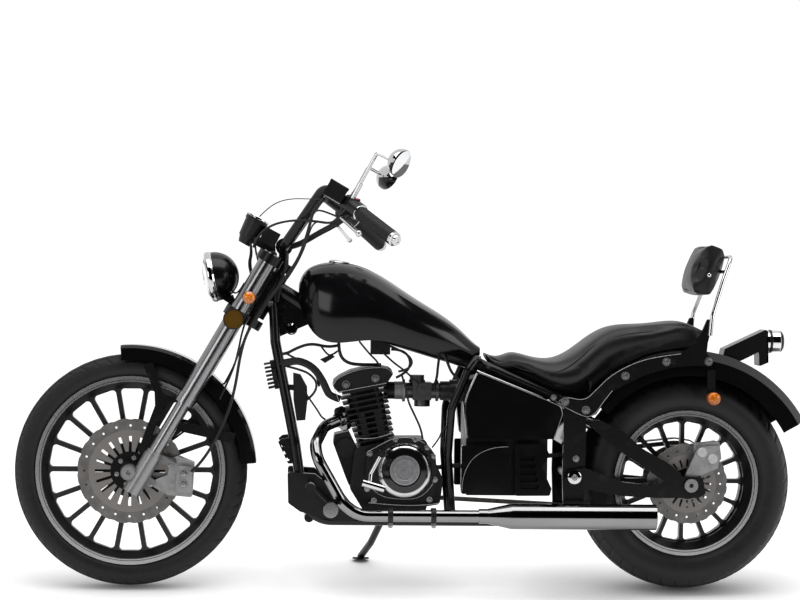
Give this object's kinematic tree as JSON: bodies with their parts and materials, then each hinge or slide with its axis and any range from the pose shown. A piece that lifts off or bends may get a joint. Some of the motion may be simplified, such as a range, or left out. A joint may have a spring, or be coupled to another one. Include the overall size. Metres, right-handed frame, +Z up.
{
  "type": "cruiser motorcycle",
  "caption": "Low cruiser motorcycle with a raked fork, finned single-cylinder engine, fat rear tyre and backrest, leaning on its side stand.",
  "frame": {"origin": "middle of the leaning motorcycle's footprint box, on the floor under its tyres", "axes": "+X towards the rear wheel, -Y towards the exhaust side, +Z up; the motorcycle leans 7 degrees towards +Y onto its side stand"},
  "size_m": [2.348, 0.9208, 1.3328],
  "materials": {
    "black_paint": "gloss black paint",
    "black_metal": "satin black paint",
    "chrome": "bright chrome",
    "silver": "silver anodised",
    "cast": "satin cast alloy",
    "steel": "brushed",
    "tyre": "matte",
    "rubber": "matte",
    "vinyl": "matte black vinyl",
    "plastic": "matte black",
    "glass": "clear",
    "amber": "translucent amber"
  },
  "bodies": {
    "chassis": {"frame": "black_metal", "swingarm": "black_metal", "rear_axle": "steel", "engine_case": "cast", "engine_cylinder": "black_metal", "clutch_cover": "chrome", "carburettor": "cast", "exhaust_pipe": "chrome", "muffler": "chrome", "fuel_tank": "black_paint", "seat": "vinyl", "back_pad": "vinyl", "sissy_bar": "chrome", "rear_fender": "black_paint", "fender_struts": "black_metal", "side_covers": "black_paint", "electrical_boxes": "plastic", "footrests": "rubber", "rear_lamps": "chrome", "rear_caliper": "black_metal", "drive_chain": "steel"},
    "steering": {"front_axle": "steel", "fork_lowers": "chrome", "fork_uppers": "silver", "fork_yokes": "black_metal", "front_fender": "black_paint", "fender_stays": "black_metal", "front_caliper": "silver", "headlamp_shell": "chrome", "headlamp_lens": "glass", "gauges": "plastic", "handlebar": "black_metal", "grips": "rubber", "hand_controls": "plastic", "mirrors": "chrome", "front_indicators": "amber"},
    "front_wheel": {"front_tyre": "tyre", "front_rim": "black_metal", "front_brake_disc": "steel"},
    "rear_wheel": {"rear_tyre": "tyre", "rear_rim": "black_metal", "rear_brake_disc": "steel", "rear_sprocket": "steel"},
    "side_stand": {"side_stand": "black_metal"}
  },
  "joints": [
    {"name": "steering_turn", "type": "hinge", "parent": "chassis", "child": "steering", "pos_m": [-0.47977, -0.02949, 0.79114], "axis": [0.5, 0.1055, 0.8596], "range_deg": [-36, 36]},
    {"name": "front_wheel_spin", "type": "hinge", "parent": "steering", "child": "front_wheel", "pos_m": [-0.82905, -0.08372, 0.34949], "axis": [0, 0.9925, -0.1219], "continuous": true},
    {"name": "rear_wheel_spin", "type": "hinge", "parent": "chassis", "child": "rear_wheel", "pos_m": [0.82595, -0.0864, 0.32765], "axis": [0, 0.9925, -0.1219], "continuous": true},
    {"name": "side_stand_fold", "type": "hinge", "parent": "chassis", "child": "side_stand", "pos_m": [-0.06905, 0.01326, 0.18746], "axis": [0.0773, -0.7033, -0.7067], "range_deg": [0, 101.7]}
  ]
}
